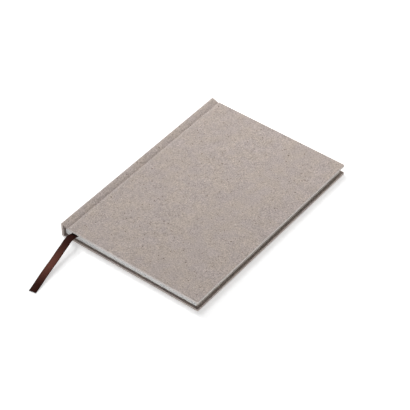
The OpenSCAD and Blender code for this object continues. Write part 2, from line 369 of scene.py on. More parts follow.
grey_board = plain_paper("grey_board", (138, 131, 121), (121, 114, 105), (84, 78, 70), False, 0.0001)[0]
kraft_strip = plain_paper("kraft_strip", (173, 141, 103), (158, 126, 90), (120, 92, 62))[0]
endpaper = plain_paper("endpaper", (229, 224, 214), (223, 217, 206), (196, 186, 170), True)[0]
page_edge = plain_paper("page_edge", (240, 239, 238), (228, 227, 226), (204, 201, 197))[0]
print("plain papers ready:", grey_board.name, kraft_strip.name, endpaper.name, page_edge.name)

# %% [markdown]
# The pages are ruled in squares. The ruling is two sets of thin lines, found by folding each map
# coordinate back and forth over half a square: the fold is zero on a line, so a soft step there
# draws it. A leaf's map is in metres, so the squares follow the leaf when it bends.

# %% Squared page
SQUARE = 5 * MM
RULE_W = 0.16 * MM
ruling, given, made = new_group(
    "grid_ruling", [("Place", "Vector"), ("Square", "Float"), ("Line", "Float")], [("Mask", "Float")]
)
across = add_node(ruling, "ShaderNodeSeparateXYZ", {"Vector": given["Place"]}).outputs
half_square = calc(ruling, "MULTIPLY", given["Square"], 0.5)
lines = []
for axis in ("X", "Y"):
    off_line = calc(ruling, "PINGPONG", across[axis], half_square)
    lines.append(fade(ruling, off_line, given["Line"], calc(ruling, "MULTIPLY", given["Line"], 0.35)))
ruling.links.new(calc(ruling, "MAXIMUM", lines[0], lines[1]), made["Mask"])

squared_page, tree, shader, look, source = plain_paper(
    "squared_page", (238, 235, 227), (233, 229, 220), (214, 207, 194), True
)
RULE_COLOUR = screen_colour(164, 172, 178)
ruled = group_node(tree, ruling, {"Place": source, "Square": SQUARE, "Line": RULE_W})["Mask"]
inked = calc(tree, "MULTIPLY", ruled, fade(tree, noise(tree, source, 2500.0), 0.2, 0.6, 0.6, 0.95))
tree.links.new(tint(tree, inked, look["Color"], RULE_COLOUR), shader.inputs["Base Color"])
print("squares of", SQUARE / MM, "mm")

# %% [markdown]
# The ribbon is a woven satin tape: fine warp threads run along it, crossed by tighter weft, with a
# denser selvedge on each side. Gauze and sewing thread are woven or twisted too, so one weave group
# serves all three. It makes ridges along and across from the map and adds them up. The ribbon's
# material mixes in paler threads by the number that its points carry: a painted sheen, brightest in the
# middle of the loose run and weaker at the selvedges.

# %% Weave group, ribbon, gauze and thread
FULL_TURN = 6.2832
WARP_HEIGHT = 0.6
WEFT_HEIGHT = 0.4
STRAND_STRETCH = (3000.0, 90.0, 90.0)
STRAND_SHARE = 0.6
RIBBON_THREAD = (46, 14, 8)
RIBBON_GAP = (25, 6, 3)
# Paler threads, painted in as the satin's sheen along the loose run.
RIBBON_PAINTED_SHEEN = ((114, 69, 58), (80, 47, 39))
RIBBON_SHINE = 0.06
RIBBON_SHINE_COLOUR = screen_colour(196, 132, 112)
weave, given, made = new_group(
    "thread_weave",
    [("Place", "Vector"), ("Warp", "Float"), ("Weft", "Float"), ("Thread", "Color"), ("Gap", "Color")],
    [("Color", "Color"), ("Height", "Float"), ("Roughness", "Float")],
)
across = add_node(weave, "ShaderNodeSeparateXYZ", {"Vector": given["Place"]}).outputs
warp_turn = calc(weave, "MULTIPLY", across["X"], calc(weave, "MULTIPLY", given["Warp"], FULL_TURN))
weft_turn = calc(weave, "MULTIPLY", across["Y"], calc(weave, "MULTIPLY", given["Weft"], FULL_TURN))
warp_ridge = calc(weave, "ABSOLUTE", calc(weave, "SINE", warp_turn))
weft_ridge = calc(weave, "ABSOLUTE", calc(weave, "SINE", weft_turn))
warp_part = calc(weave, "MULTIPLY", warp_ridge, WARP_HEIGHT)
weft_part = calc(weave, "MULTIPLY", weft_ridge, WEFT_HEIGHT)
height = calc(weave, "ADD", warp_part, weft_part)
strands = add_node(
    weave, "ShaderNodeVectorMath", {0: given["Place"], 1: STRAND_STRETCH}, operation="MULTIPLY"
).outputs[0]
uneven = noise(weave, strands, 1.0, 3.0)
streaks = calc(weave, "MULTIPLY", uneven, STRAND_SHARE)
lit = fade(weave, calc(weave, "ADD", height, streaks), 0.45, 1.35)
weave.links.new(tint(weave, lit, given["Gap"], given["Thread"]), made["Color"])
weave.links.new(height, made["Height"])
weave.links.new(fade(weave, uneven, 0.25, 0.75, 0.38, 0.56), made["Roughness"])


def woven(name, warp, weft, thread, gap, source, relief, painted_sheen=None):
    """A woven material: warp and weft are half threads in a metre, source a coordinate's name."""
    material, tree, shader = new_material(name, 0.5, 0.4)
    where = add_node(tree, "ShaderNodeTexCoord").outputs[source]
    colours = {"Thread": screen_colour(*thread), "Gap": screen_colour(*gap)}
    # A painted sheen mixes paler threads in by the points' number.
    if painted_sheen:
        wear_and_painted_light = add_node(tree, "ShaderNodeAttribute", attribute_name="rub_and_painted_light").outputs["Fac"]
        for part, pale in zip(("Thread", "Gap"), painted_sheen):
            colours[part] = tint(tree, wear_and_painted_light, colours[part], screen_colour(*pale))
    look = group_node(tree, weave, {"Place": where, "Warp": warp, "Weft": weft, **colours})
    tree.links.new(look["Color"], shader.inputs["Base Color"])
    tree.links.new(look["Roughness"], shader.inputs["Roughness"])
    bump(tree, shader, look["Height"], relief, 0.6)
    return material, shader


ribbon_satin, shader = woven(
    "ribbon_satin", 2200.0, 1400.0, RIBBON_THREAD, RIBBON_GAP, "UV", 0.05 * MM, RIBBON_PAINTED_SHEEN
)
shader.inputs["Specular IOR Level"].default_value = RIBBON_SHINE
shader.inputs["Specular Tint"].default_value = RIBBON_SHINE_COLOUR
gauze = woven("mull_gauze", 450.0, 450.0, (226, 220, 204), (176, 160, 132), "Object", 0.0001)[0]
linen_thread = woven("linen_thread", 900.0, 900.0, (240, 236, 224), (196, 188, 170), "Object", 0.00005)[0]
print("woven materials ready:", ribbon_satin.name, gauze.name, linen_thread.name)

# %% [markdown]
# Every mesh is made from rows of points: neighbouring rows are joined by quads into a skin, and a
# skin gets a real thickness by a twin skin behind it and a rim between the two. Paper is thin, so
# this gives true paper edges where a modifier would leave their shading soft.

# %% Mesh helpers
SAME_PLACE = 0.001 * MM
MITRE_LIMIT = 1.5


def add_skin(mesh, rows, row_rub_and_light=None, column_rub_and_light=None, flip=False):
    """Quads through rows of points; the face side is row step times column step, or its back."""
    # The point number holds rub and painted light: pale wear, painted shade and the ribbon's painted sheen.
    layer = mesh.verts.layers.float.get("rub_and_painted_light") or mesh.verts.layers.float.new("rub_and_painted_light")
    grid = []
    for row_at, row in enumerate(rows):
        grid.append([])
        for at, point in enumerate(row):
            vert = mesh.verts.new(point)
            vert[layer] = (column_rub_and_light[at] if column_rub_and_light else 0.0) + (row_rub_and_light[row_at] if row_rub_and_light else 0.0)
            grid[-1].append(vert)
    for above, below in zip(grid, grid[1:]):
        for at in range(len(above) - 1):
            corners = [above[at], below[at], below[at + 1], above[at + 1]]
            mesh.faces.new(corners[::-1] if flip else corners)
    return grid


def thicken(mesh, thickness):
    """Gives an open skin a twin that lies behind it, and joins the two along the open edges."""
    layer = mesh.verts.layers.float.get("rub_and_painted_light")
    bmesh.ops.remove_doubles(mesh, verts=mesh.verts, dist=SAME_PLACE)
    bmesh.ops.dissolve_degenerate(mesh, edges=mesh.edges, dist=SAME_PLACE)
    mesh.normal_update()
    twin = {}
    for vert in list(mesh.verts):
        depth = thickness * min(vert.calc_shell_factor(), MITRE_LIMIT)
        twin[vert] = mesh.verts.new(vert.co - vert.normal * depth)
        twin[vert][layer] = vert[layer]
    open_edges = [edge for edge in mesh.edges if edge.is_boundary]
    for face in list(mesh.faces):
        mesh.faces.new([twin[vert] for vert in reversed(face.verts)])
    for edge in open_edges:
        loop = edge.link_loops[0]
        first = loop.vert
        second = loop.link_loop_next.vert
        mesh.faces.new([second, first, twin[first], twin[second]])


def new_piece(name, mesh, materials, nodes=(), body=None, smooth_angle=40.0):
    """Puts a bmesh in the scene with its materials, hides the CAD nodes it stands for and hangs it on a
    body's empty.
    """
    data = bpy.data.meshes.new(name)
    mesh.to_mesh(data)
    mesh.free()
    data.shade_smooth()
    data.set_sharp_from_angle(angle=math.radians(smooth_angle))
    piece = bpy.data.objects.new(name, data)
    bpy.context.scene.collection.objects.link(piece)
    for material in materials:
        data.materials.append(material)
    if nodes:
        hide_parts(*nodes)
    if body:
        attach(piece, body)
    return piece


def smooth_line(points, steps):
    """A smooth curve through points, with that many steps between each two of them."""
    ends = [points[0] * 2 - points[1]] + list(points) + [points[-1] * 2 - points[-2]]
    curve = []
    for before, start, end, after in zip(ends, ends[1:], ends[2:], ends[3:]):
        for step in range(steps):
            t = step / steps
            bend = (before * 2 - start * 5 + end * 4 - after) * t * t
            twist = (start * 3 - before - end * 3 + after) * t ** 3
            curve.append((start * 2 + (end - before) * t + bend + twist) * 0.5)
    return curve + [points[-1]]


print("mesh helpers ready")

# %% [markdown]
# The ribbon marker is glued to the back of the sewn sections at the head, lies between two pages and
# comes out at the tail, where it arches over the cover's edge and runs down to the table.
# A flat tape is one closed section swept along a line. Here the section is slightly crowned, with
# thicker selvedges, and the tail follows the same points as the CAD solid.

# %% Ribbon tail
RIBBON_W = 7 * MM
RIBBON_T = 0.2 * MM
RIBBON_CROWN = 0.3 * MM
SELVEDGE_T = 0.05 * MM
RIBBON_STEPS = 14
# Where the painted sheen starts, is full and ends, measured out of the pages.
SHEEN_START = 8 * MM
SHEEN_FULL = 40 * MM
SHEEN_END = 60 * MM
SHEEN_CUT_AT_SELVEDGE = 0.6
SELVEDGE_FROM = 0.9
RIM_FROM = 0.99
RIM_SHARE = 0.5
EXIT = Vector((FOLD_X + 11.5 * MM, -HALF_LEAF, 7.627 * MM))
tail_points = []
for over, out, high in (
    (0.0, 0.0, 7.6), (0.0, -2.5, 8.5), (0.1, -5.5, 9.4), (0.25, -8.5, 9.7),
    (0.6, -11.5, 9.4), (1.05, -14.5, 8.8), (1.8, -18.5, 8.1), (2.6, -23.5, 7.3),
    (3.6, -28.5, 6.5), (4.7, -34.5, 5.6), (5.6, -40.5, 4.6), (6.6, -46.5, 3.7),
    (7.7, -52.5, 2.7), (8.95, -58.5, 1.75), (9.9, -63.5, 0.95), (10.7, -68.0, 0.35),
):
    tail_points.append(Vector((EXIT.x + over * MM, EXIT.y + out * MM, high * MM)))
tail_path = smooth_line(tail_points, 6)


def tape_mesh(path, sides, painted_sheen=None):
    """A woven tape along path; sides are the directions of its width. Its map is in metres."""
    mesh = bmesh.new()
    map_layer = mesh.loops.layers.uv.new("tape_map")
    painted_sheen_layer = mesh.verts.layers.float.new("rub_and_painted_light")
    rings = []
    along = 0.0
    run = []
    for at, point in enumerate(path):
        ahead = (path[min(at + 1, len(path) - 1)] - path[max(at - 1, 0)]).normalized()
        side = (sides[at] - ahead * sides[at].dot(ahead)).normalized()
        face = ahead.cross(side)
        ring = []
        for sign in (1.0, -1.0):
            for step in range(RIBBON_STEPS + 1):
                share = sign * (1.0 - 2.0 * step / RIBBON_STEPS)
                beyond = max(0.0, abs(share) - SELVEDGE_FROM) / (1.0 - SELVEDGE_FROM)
                half = RIBBON_T / 2 + SELVEDGE_T * beyond
                crown = RIBBON_CROWN * (1.0 - share * share) - RIBBON_CROWN / 2
                if abs(share) > RIM_FROM:
                    half = half * RIM_SHARE
                spot = point + side * share * RIBBON_W / 2 + face * (crown + sign * half)
                ring.append(mesh.verts.new(spot))
                # Painted sheen on the points, cut back towards the selvedges.
                ring[-1][painted_sheen_layer] = painted_sheen[at] * (1.0 - SHEEN_CUT_AT_SELVEDGE * share ** 4) if painted_sheen else 0.0
        rings.append(ring)
        along += (point - path[max(at - 1, 0)]).length
        run.append(along)
    count = len(rings[0])
    for at in range(len(rings) - 1):
        for step in range(count):
            after = (step + 1) % count
            near = rings[at]
            far = rings[at + 1]
            face = mesh.faces.new([near[step], far[step], far[after], near[after]])
            shares = []
            for number in (step, step, after, after):
                place_in_side = number % (RIBBON_STEPS + 1)
                sign = 1.0 if number <= RIBBON_STEPS else -1.0
                shares.append(sign * (0.5 - place_in_side / RIBBON_STEPS) * RIBBON_W)
            runs = (run[at], run[at + 1], run[at + 1], run[at])
            for loop, share, length in zip(face.loops, shares, runs):
                loop[map_layer].uv = (share, length)
    mesh.faces.new(rings[0][::-1])
    mesh.faces.new(rings[-1])
    bmesh.ops.recalc_face_normals(mesh, faces=mesh.faces)
    return mesh, run[-1]


def painted_sheen_share(out):
    """How much painted sheen the tape gets at a distance out of the pages: most in the middle of its loose
    run.
    """
    rise = min(1.0, max(0.0, (out - SHEEN_START) / (SHEEN_FULL - SHEEN_START)))
    fall = min(1.0, max(0.0, (SHEEN_END - out) / (SHEEN_END - SHEEN_FULL)))
    return rise * rise * (3 - 2 * rise) * fall


across_tail = []
for at, point in enumerate(tail_path):
    ahead = tail_path[min(at + 1, len(tail_path) - 1)] - tail_path[max(at - 1, 0)]
    across_tail.append(Vector((-ahead.y, ahead.x, 0.0)).normalized())
painted_sheen_tail = [painted_sheen_share(EXIT.y - point.y) for point in tail_path]
tail_mesh, tail_length = tape_mesh(tail_path, across_tail, painted_sheen_tail)
ribbon_tail = new_piece(
    "ribbon_tail_tape", tail_mesh, [ribbon_satin], ["ribbon_tail"], "back_cover", 60.0
)
print("ribbon tail is", round(tail_length / MM, 1), "mm long")

# %% [markdown]
# Inside the block the same tape lies flat on the marked page, a little askew, and its other end is
# glued upright on the back of the sections. The inner run keeps clear of the gutter, where an opened
# page bends, so it rides on the back cover with the flat of the page.

# %% Ribbon inside the block
INNER_STEPS = 24
HEAD_POINT = Vector((FOLD_X + 12.5 * MM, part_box("ribbon_inner")[1].y, 7.62 * MM))
inner_path = []
for step in range(INNER_STEPS + 1):
    inner_path.append(HEAD_POINT.lerp(EXIT, step / INNER_STEPS))
inner_mesh, inner_length = tape_mesh(inner_path, [Vector((1.0, 0.0, 0.0))] * len(inner_path))
new_piece("ribbon_inner_tape", inner_mesh, [ribbon_satin], ["ribbon_inner"], "back_cover", 60.0)
anchor_low, anchor_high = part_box("ribbon_anchor")
anchor_middle = (anchor_low + anchor_high) / 2
anchor_path = []
for step in range(INNER_STEPS + 1):
    height = anchor_low.y + (anchor_high.y - anchor_low.y) * step / INNER_STEPS
    anchor_path.append(Vector((anchor_middle.x, height, anchor_middle.z)))
anchor_mesh, anchor_length = tape_mesh(anchor_path, [Vector((0.0, 0.0, 1.0))] * len(anchor_path))
new_piece("ribbon_glued_end", anchor_mesh, [ribbon_satin], ["ribbon_anchor"], "spine", 60.0)
print("ribbon inside", round(inner_length / MM, 1), "mm, glued end", round(anchor_length / MM, 1), "mm")

# %% [markdown]
# A case cover is a board with paper drawn over its face, bent round three edges and turned in by
# 15 mm, with mitred corners. The wrap could be a bevelled box, but then the paper would have no
# inside. Here the edge's profile, from the face over the rounded edge to the end of the turn-in, is
# swept along the outline, and the flat face closes the middle.

# %% Cover wraps
EDGE_R = 0.5 * MM
INNER_R = 0.4 * MM
FLAT_RIM = 0.4 * MM
WRAP_START = 0.3 * MM
CORNER_STEPS = 8
ARC_STEPS = 5
GROOVE_DEPTH = 1.2 * MM
BOARD_RUB = 0.7
SLOPE_STEPS = 6
LIP_R = 0.34 * MM
LIP_FOLD_SHARE = 0.8
FOLD_R = 0.2 * MM
OVER_SPINE = 1.1 * MM
SPINE_DIP = 0.03 * MM
SHOULDER_OUT = 0.7 * MM
SHOULDER_DROP = 0.24 * MM
FOOT_OUT = 1.1 * MM
FOOT_RISE = 0.1 * MM


def cover_outline(width):
    """(x, y, outward x, outward y, corner side or 0) along a cover's tail, fore and head edges."""
    outline = []
    for share in (0.0, 0.25, 0.5, 0.75, 1.0):
        along = WRAP_START + (width - CORNER_R - WRAP_START) * share
        outline.append((along, -HALF_H, 0.0, -1.0, 0))
    for side in (-1, 1):
        for step in range(1, CORNER_STEPS):
            angle = math.radians(90 * (step / CORNER_STEPS - (1 if side < 0 else 0)))
            out_x = math.cos(angle)
            out_y = math.sin(angle)
            corner_y = side * (HALF_H - CORNER_R)
            corner_x = width - CORNER_R
            spot = (corner_x + CORNER_R * out_x, corner_y + CORNER_R * out_y)
            outline.append((spot[0], spot[1], out_x, out_y, side))
        if side < 0:
            for share in (0.0, 0.25, 0.5, 0.75, 1.0):
                along = (HALF_H - CORNER_R) * (2 * share - 1)
                outline.append((width, along, 1.0, 0.0, 0))
    for share in (1.0, 0.75, 0.5, 0.25, 0.0):
        along = WRAP_START + (width - CORNER_R - WRAP_START) * share
        outline.append((along, HALF_H, 0.0, 1.0, 0))
    return outline


def edge_profile(face_rub_and_light, edge_rub_and_light):
    """(distance in from the outline, height, rub and painted light) from the face over the edge to the
    turn-in's end.
    """
    profile = [(EDGE_R + FLAT_RIM, 0.0, 0.0)]
    for step in range(ARC_STEPS + 1):
        angle = math.radians(90 * step / ARC_STEPS)
        wear_and_painted_light = face_rub_and_light * math.sin(angle) + (edge_rub_and_light - face_rub_and_light) * math.sin(angle) ** 4
        profile.append((EDGE_R - EDGE_R * math.sin(angle), EDGE_R * math.cos(angle) - EDGE_R, wear_and_painted_light))
    for step in range(ARC_STEPS + 1):
        angle = math.radians(90 * step / ARC_STEPS)
        wear_and_painted_light = edge_rub_and_light * math.cos(angle)
        inset = INNER_R - INNER_R * math.cos(angle)
        profile.append((inset, INNER_R - COVER_T - INNER_R * math.sin(angle), wear_and_painted_light))
    # -1 on the turned-in margin: painted shade for the shade inside the case.
    profile.append((INNER_R + FLAT_RIM, -COVER_T, -1.0))
    profile.append((TURN_IN, -COVER_T, -1.0))
    return profile


def cover_skin(mesh, width, place_of, profile):
    """The paper's outer skin on a board of that width; place_of turns cover measures into a place."""
    rows = []
    for inset, height, wear_and_painted_light in profile:
        row = []
        for along, out, out_x, out_y, side in cover_outline(width):
            spot = [along - out_x * inset, out - out_y * inset]
            if inset > CORNER_R:
                reach = HALF_H - inset
                spot[0] = width - inset if side else min(spot[0], width - inset)
                spot[1] = side * reach if side else max(-reach, min(reach, spot[1]))
            row.append(place_of(spot[0], spot[1], height))
        rows.append(row)
    grid = add_skin(mesh, rows, [wear_and_painted_light for inset, height, wear_and_painted_light in profile])
    mesh.faces.new(grid[0])


def groove_line(rise):
    """The paper's outer line from the spine through the groove to the board's face, as (x, height)."""
    line = []
    for step in range(ARC_STEPS):
        angle = math.radians(90 * step / ARC_STEPS)
        over = LIP_R - LIP_R * math.cos(angle)
        line.append(Vector((SPINE_X + over, rise - LIP_R + LIP_R * math.sin(angle))))
    line.append(Vector((SPINE_X + LIP_R, rise)))
    bottom = -GROOVE_DEPTH
    over_spine = [Vector((SPINE_X + OVER_SPINE, rise)), Vector((SPINE_INNER_X, rise - SPINE_DIP))]
    shoulder = Vector((SPINE_INNER_X + SHOULDER_OUT, rise - SHOULDER_DROP))
    foot = Vector((BOARD_X - FOOT_OUT, bottom + FOOT_RISE))
    slope = over_spine + [shoulder.lerp(foot, step / SLOPE_STEPS) for step in range(SLOPE_STEPS + 1)]
    climb = [
        (-0.7, bottom / MM), (-0.45, bottom / MM + 0.08), (-0.27, bottom / MM + 0.32),
        (-0.2, -0.4), (-0.1, -0.16), (0.1, -0.03),
    ]
    up_board = [Vector((BOARD_X + over * MM, height * MM)) for over, height in climb]
    return line + smooth_line(slope + up_board + [Vector((BOARD_X + WRAP_START, 0.0))], 3)


def groove_skin(mesh, rise, place_of):
    """The paper over the groove, from tail to head, with its ends folded under and turned in."""
    line = groove_line(rise)
    bottom_half = -GROOVE_DEPTH / 2
    stations = [(TURN_IN - HALF_H, 2 * FOLD_R)]
    for step in range(ARC_STEPS + 1):
        angle = math.radians(180 * (1 - step / ARC_STEPS))
        stations.append((FOLD_R - HALF_H - FOLD_R * math.sin(angle), FOLD_R - FOLD_R * math.cos(angle)))
    stations += [(-along, depth) for along, depth in reversed(stations)]
    rows = []
    for along, depth in stations:
        row = []
        for at, point in enumerate(line):
            step = line[min(at + 1, len(line) - 1)] - line[max(at - 1, 0)]
            out = Vector((-step.y, step.x)).normalized()
            share = LIP_FOLD_SHARE if at <= ARC_STEPS else 1.0
            spot = point - out * depth * share
            row.append(place_of(spot.x, along, spot.y))
        rows.append(row)
    wear_and_painted_light = []
    for point in line:
        near_board = BOARD_RUB * max(0.0, 1.0 - abs(point.x - BOARD_X) / FLAT_RIM)
        wear_and_painted_light.append(0.0 if point.y < bottom_half else near_board)
    add_skin(mesh, rows, column_rub_and_light=wear_and_painted_light, flip=True)


def on_front(along, out, height):
    lean = Matrix.Rotation(SLOPE, 3, "Y")
    return Vector((BOARD_X, 0.0, FRONT_Z)) + lean @ Vector((along, out, height))


def on_back(along, out, height):
    return Vector((BOARD_X + along, out, -height))


def front_groove(x, out, height):
    return Vector((x, out, FRONT_Z + height))


def back_groove(x, out, height):
    return Vector((x, out, -height))


FRONT_W = (FORE_X - BOARD_X) / math.cos(SLOPE)
BACK_W = FORE_X - BOARD_X
# The front cover's edges get more pale rub than the back's: wear, and painted light for the light that they
# catch.
FRONT_WEAR_AND_LIGHT = edge_profile(0.7, 0.9)
BACK_WEAR_AND_LIGHT = edge_profile(0.4, 0.15)
COVER_SIDES = (
    ("front", FRONT_W, on_front, front_groove, SPINE_TOP - FRONT_Z, FRONT_WEAR_AND_LIGHT),
    ("back", BACK_W, on_back, back_groove, 0.0, BACK_WEAR_AND_LIGHT),
)
for side, width, on_board, in_groove, rise, profile in COVER_SIDES:
    wrap = bmesh.new()
    cover_skin(wrap, width, on_board, profile)
    groove_skin(wrap, rise, in_groove)
    if side == "back":
        bmesh.ops.reverse_faces(wrap, faces=wrap.faces)
    thicken(wrap, PAPER_T)
    nodes = [side + "_cover_paper"]
    piece = new_piece(side + "_cover_wrap", wrap, [cover_paper], nodes, smooth_angle=35.0)
    at_spine = in_groove(SPINE_X, 0.0, rise - LIP_R)
    at_cover = in_groove(SPINE_X + LIP_R, 0.0, rise)
    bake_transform(piece)
    print(piece.name, len(piece.data.polygons), "faces")

# %% [markdown]
# The spine is a narrow board wrapped in the same sheet, turned in at the head and the tail. Its paper
# meets the covers at the two folds, so this piece only has the flat back, the two rounded ends and the
# turned-in tongues inside.

# %% Spine wrap
END_R = 0.4 * MM
INNER_END_RUB = 0.5
OUTER_END_RUB = 0.8
spine_low, spine_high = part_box("spine_paper")
# The tongues get -1: painted shade for the dark hollow between the spine and the pages.
tail_half = [(TURN_IN - HALF_H, SPINE_INNER_X, -1.0), (END_R + FLAT_RIM - HALF_H, SPINE_INNER_X, -1.0)]
for step in range(ARC_STEPS + 1):
    angle = math.radians(90 * step / ARC_STEPS)
    out = END_R - HALF_H - END_R * math.sin(angle)
    wear_and_painted_light = INNER_END_RUB * math.sin(2 * angle)
    tail_half.append((out, SPINE_INNER_X - END_R + END_R * math.cos(angle), wear_and_painted_light))
for step in range(ARC_STEPS + 1):
    angle = math.radians(90 * step / ARC_STEPS)
    out = END_R - HALF_H - END_R * math.cos(angle)
    wear_and_painted_light = OUTER_END_RUB * math.sin(2 * angle)
    tail_half.append((out, SPINE_X + END_R - END_R * math.sin(angle), wear_and_painted_light))
tail_half.append((END_R + FLAT_RIM - HALF_H, SPINE_X, 0.0))
spine_line = tail_half + [(-along, x, wear_and_painted_light) for along, x, wear_and_painted_light in reversed(tail_half)]
spine_rows = []
for along, x, wear_and_painted_light in spine_line:
    row = []
    for share in (0.0, 0.03, 0.5, 0.97, 1.0):
        row.append(Vector((x, along, spine_low.z + (spine_high.z - spine_low.z) * share)))
    spine_rows.append(row)
spine_wrap = bmesh.new()
add_skin(spine_wrap, spine_rows, [wear_and_painted_light for along, x, wear_and_painted_light in spine_line], flip=True)
thicken(spine_wrap, PAPER_T)
piece = new_piece("spine_wrap", spine_wrap, [cover_paper], ["spine_paper"], smooth_angle=35.0)
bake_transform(piece)
print(piece.name, len(piece.data.polygons), "faces")

# %% [markdown]
# Pages are folded sheets, four to a section, one inside another. A leaf could be drawn as a line on a
# block, but an open book shows every leaf at the gutter. So each folded sheet is its own thin band: a
# U-shaped line, given a thickness and drawn out from tail to head. Tiny seeded differences in length
# keep the trimmed edges from looking like one slab.

# %% Folded sheets
SECTIONS = 8
FRONT_SECTIONS = 2
SHEETS = 4
SECTION_T = 0.66 * MM
SECTION_SWELL = 0.18 * MM
MARKER_GAP = 0.35 * MM
LEAF_FILL = 0.94
FOLD_STEPS = 6
GUTTER = 8.5 * MM
GUTTER_STEPS = 12
TRIM = 0.08 * MM
trimmer = random.Random(11)


def pile_z(count, x):
    """Height of the pages under a number of sections, thicker towards the sewn fold."""
    return PAGES_Z + count * (SECTION_T + SECTION_SWELL * (LEAF_X - x) / LEAF_W)


def leaf_stations(start, end):
    """x places along a leaf: close together in the gutter, where it bends, and far apart beyond."""
    places = []
    for step in range(GUTTER_STEPS + 1):
        places.append(start + (FOLD_X + GUTTER - start) * step / GUTTER_STEPS)
    for share in (0.12, 0.45, 1.0):
        places.append(FOLD_X + GUTTER + (end - FOLD_X - GUTTER) * share)
    return places


def band_mesh(mesh, line, runs, halves, tail, head):
    """A sheet of paper: a line of (x, z) with half its thickness at each point. Its map is in metres."""
    map_layer = mesh.loops.layers.uv.get("leaf_map") or mesh.loops.layers.uv.new("leaf_map")
    rings = []
    for along in (tail, head):
        faces = ([], [])
        for at, point in enumerate(line):
            step = (line[min(at + 1, len(line) - 1)] - line[max(at - 1, 0)]).normalized()
            out = Vector((-step.y, step.x)) * halves[at]
            for side, spot in ((0, point + out), (1, point - out)):
                faces[side].append(mesh.verts.new((spot.x, along, spot.y)))
        rings.append(faces)
    last = len(line) - 1
    for side in (0, 1):
        for at in range(last):
            near = [rings[0][side][at], rings[1][side][at], rings[1][side][at + 1], rings[0][side][at + 1]]
            face = mesh.faces.new(near if side == 0 else near[::-1])
            spots = [(runs[at], tail), (runs[at], head), (runs[at + 1], head), (runs[at + 1], tail)]
            for loop, spot in zip(face.loops, spots if side == 0 else spots[::-1]):
                loop[map_layer].uv = (spot[0], spot[1] + HALF_LEAF)
    rim = []
    for end in (0, 1):
        for at in range(last):
            pair = rings[end]
            rim.append([pair[0][at], pair[0][at + 1], pair[1][at + 1], pair[1][at]])
    for at in (0, last):
        rim.append([rings[0][0][at], rings[0][1][at], rings[1][1][at], rings[1][0][at]])
    for corners in rim:
        mesh.faces.new(corners).material_index = 1


def section_mesh(number):
    """The nested folded sheets of one section, counted from the front cover."""
    mesh = bmesh.new()
    lift = MARKER_GAP if number <= FRONT_SECTIONS else 0.0
    bend_x = FOLD_X + (SECTION_T + SECTION_SWELL) / 2
    for sheet in range(SHEETS):
        share = (sheet + 0.5) / (2 * SHEETS)
        legs = []
        for part in (share, 1.0 - share):
            end = LEAF_X - trimmer.random() * TRIM
            leg = []
            for x in leaf_stations(bend_x, end):
                leg.append(Vector((x, pile_z(SECTIONS - number + part, x) + lift)))
            legs.append(leg)
        low = legs[0][0]
        high = legs[1][0]
        middle = (low + high) / 2
        radius = (high.y - low.y) / 2
        turn = []
        for step in range(1, FOLD_STEPS):
            angle = math.radians(-90 - 180 * step / FOLD_STEPS)
            turn.append(middle + Vector((math.cos(angle), math.sin(angle))) * radius)
        line = legs[0][::-1] + turn + legs[1]
        runs = [point.x - FOLD_X for point in legs[0][::-1]] + [0.0] * len(turn)
        runs += [point.x - FOLD_X for point in legs[1]]
        tail = -HALF_LEAF + trimmer.random() * TRIM
        head = HALF_LEAF - trimmer.random() * TRIM
        halves = []
        for run in runs:
            thick = SECTION_T + SECTION_SWELL * (1 - run / LEAF_W)
            halves.append(LEAF_FILL * thick / (4 * SHEETS))
        band_mesh(mesh, line, runs, halves, tail, head)
    bmesh.ops.recalc_face_normals(mesh, faces=mesh.faces)
    return mesh


for number in range(1, SECTIONS + 1):
    node = "signature_" + str(number)
    papers = [squared_page, page_edge]
    piece = new_piece(node + "_leaves", section_mesh(number), papers, [node], None, 60.0)
    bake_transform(piece)
print(SECTIONS, "sections of", SHEETS, "folded sheets,", SECTIONS * SHEETS * 4, "pages")

# %% [markdown]
# An endpaper is one folded sheet at each end of the block: half of it is pasted to the inside of the
# cover, and the other half is the free flyleaf. Both halves are bands like the pages.

# %% Endpapers
HINGE_STEPS = 8


def endpaper_piece(name, node, line, half):
    """One half of an endpaper along a line of (x, z), with its map in metres."""
    mesh = bmesh.new()
    runs = [point.x - FOLD_X for point in line]
    band_mesh(mesh, line, runs, [ENDPAPER_T / 2] * len(line), -half, half)
    bmesh.ops.recalc_face_normals(mesh, faces=mesh.faces)
    return new_piece(name, mesh, [endpaper, page_edge], [node], None, 60.0)


def hinge_line(on_board, width):
    """Middle line of a pastedown, from the block's fold across the joint and over the cover's inside."""
    middle = -COVER_T - ENDPAPER_T / 2
    line = []
    for step in range(HINGE_STEPS + 1):
        spot = on_board((FOLD_X - BOARD_X) * (1 - step / HINGE_STEPS), 0.0, middle)
        line.append(Vector((spot.x, spot.z)))
    for share in (0.3, 0.7, 1.0):
        spot = on_board(width * share, 0.0, middle)
        line.append(Vector((spot.x, spot.z)))
    return line


PASTEDOWN_INSET = 3 * MM
front_inside = hinge_line(on_front, FRONT_W - PASTEDOWN_INSET)
back_inside = hinge_line(on_back, BACK_W - PASTEDOWN_INSET)
half_pastedown = HALF_H - PASTEDOWN_INSET
piece = endpaper_piece("front_pastedown_sheet", "front_pastedown", front_inside, half_pastedown)
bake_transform(piece)
piece = endpaper_piece("back_pastedown_sheet", "back_pastedown", back_inside, half_pastedown)
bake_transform(piece)
flyleaf_line = []
for x in leaf_stations(FOLD_X, LEAF_X):
    lean = (flyleaf_high.z - flyleaf_low.z - ENDPAPER_T) * (LEAF_X - x) / LEAF_W
    flyleaf_line.append(Vector((x, flyleaf_low.z + ENDPAPER_T / 2 + lean)))
piece = endpaper_piece("front_flyleaf_sheet", "front_flyleaf", flyleaf_line, HALF_LEAF)
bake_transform(piece)
back_flyleaf_z = (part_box("back_flyleaf")[0].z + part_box("back_flyleaf")[1].z) / 2
back_line = [Vector((x, back_flyleaf_z)) for x in leaf_stations(FOLD_X, LEAF_X)]
